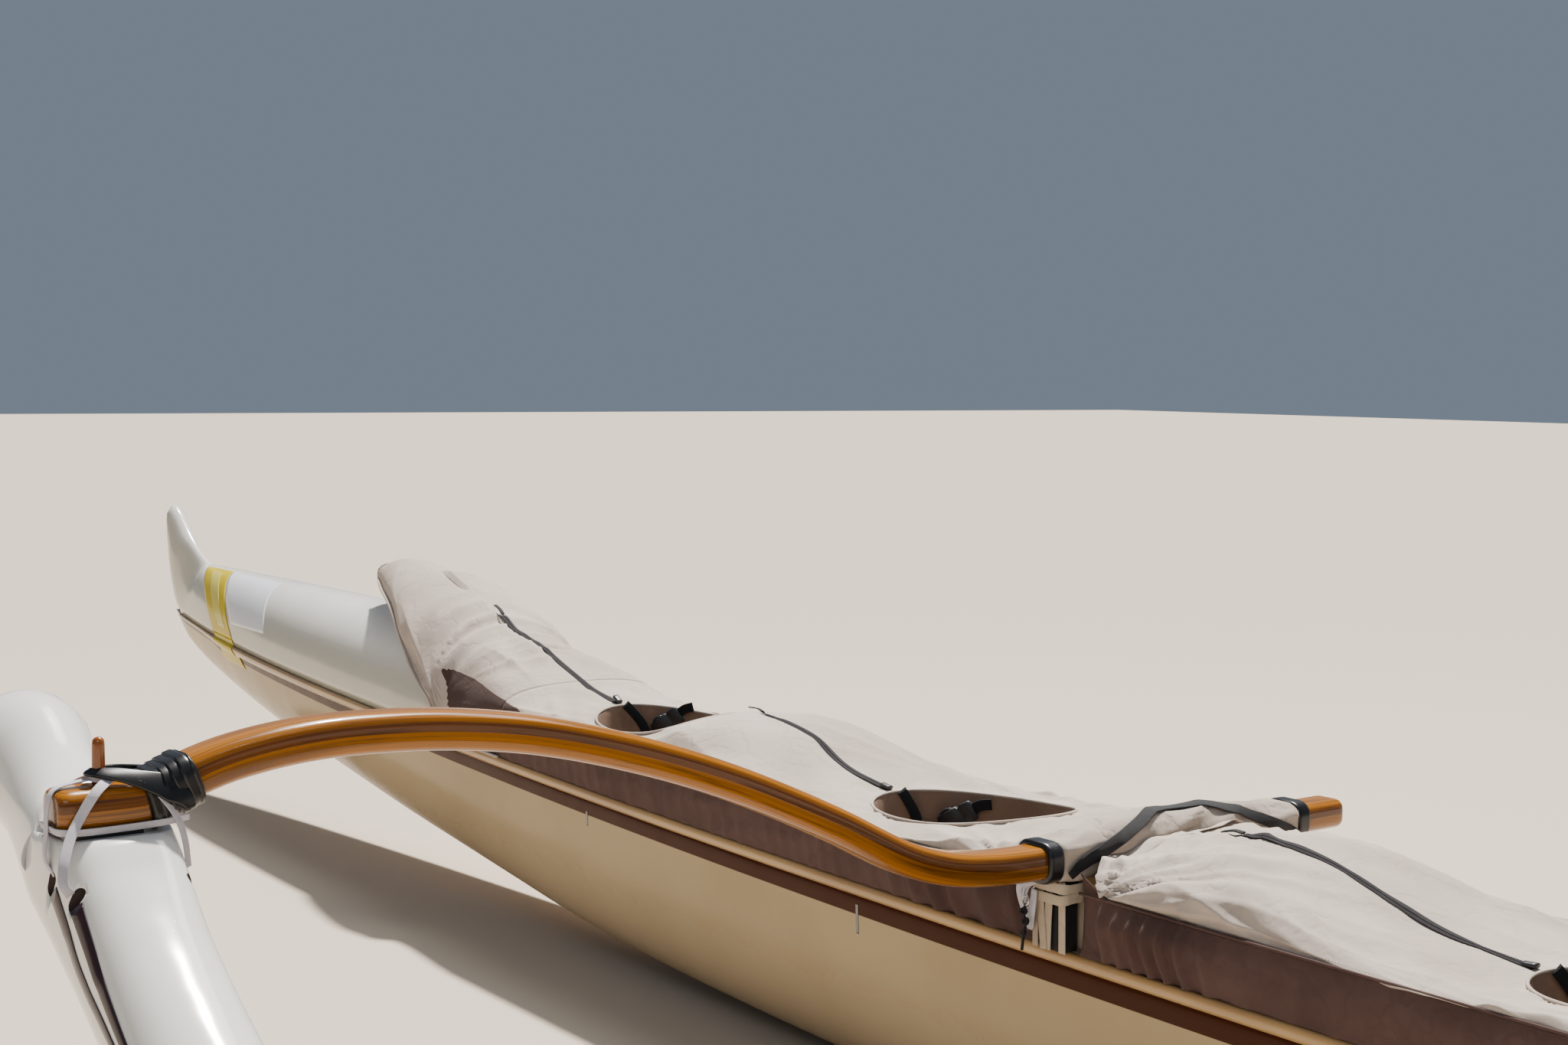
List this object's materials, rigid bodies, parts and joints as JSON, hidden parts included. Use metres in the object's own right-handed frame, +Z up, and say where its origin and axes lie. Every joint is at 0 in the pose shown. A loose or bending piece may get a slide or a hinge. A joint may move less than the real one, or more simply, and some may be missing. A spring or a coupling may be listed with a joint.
{
  "type": "six-seat racing outrigger canoe",
  "caption": "Long slim canoe hull with upswept ends, fabric spray cover with seat holes, two curved wooden cross booms and an outrigger float lashed to port.",
  "frame": {"origin": "on the floor, under the middle of the whole canoe's box, between the hull and the float", "axes": "+X towards the bow, +Y to port where the float lies, +Z up"},
  "size_m": [13.3986, 2.63, 1.0394],
  "materials": {
    "hull_gelcoat": "glossy cream gelcoat",
    "rail": "tan gunwale moulding",
    "seat": "cream moulded bench",
    "wood": "varnished laminated wood",
    "canvas": "coated beige canvas",
    "skirt": "gathered brown fabric",
    "collar": "brown stretch fabric",
    "sleeve": "padded beige canvas",
    "rubber": "black rubber strip",
    "post": "tan webbing over a block",
    "webbing": "pale flat webbing"
  },
  "bodies": {
    "root": {"hull": "hull_gelcoat", "bow_deck": "hull_gelcoat", "stern_deck": "hull_gelcoat", "gunwale_rail_port": "rail", "gunwale_rail_starboard": "rail", "seat_1": "seat", "seat_2": "seat", "seat_3": "seat", "seat_4": "seat", "seat_5": "seat", "seat_6": "seat", "cover_top_front": "canvas", "cover_top_middle": "canvas", "cover_top_rear": "canvas", "cover_skirt_front_port": "skirt", "cover_skirt_front_starboard": "skirt", "cover_skirt_middle_port": "skirt", "cover_skirt_middle_starboard": "skirt", "cover_skirt_rear_port": "skirt", "cover_skirt_rear_starboard": "skirt", "splash_hood": "canvas", "cover_apron": "canvas", "seat_1_collar": "collar", "seat_2_collar": "collar", "seat_3_collar": "collar", "seat_4_collar": "collar", "seat_5_collar": "collar", "seat_6_collar": "collar", "iako_front": "wood", "iako_front_sleeve": "sleeve", "iako_front_band_port": "rubber", "iako_front_band_starboard": "rubber", "iako_front_post_port": "post", "iako_front_post_starboard": "post", "iako_front_wrap": "rubber", "iako_front_peg": "wood", "float_pad_front": "rubber", "float_lashing_front": "webbing", "iako_rear": "wood", "iako_rear_sleeve": "sleeve", "iako_rear_band_port": "rubber", "iako_rear_band_starboard": "rubber", "iako_rear_post_port": "post", "iako_rear_post_starboard": "post", "iako_rear_wrap": "rubber", "iako_rear_peg": "wood", "float_pad_rear": "rubber", "float_lashing_rear": "webbing", "float": "hull_gelcoat"}
  },
  "joints": []
}
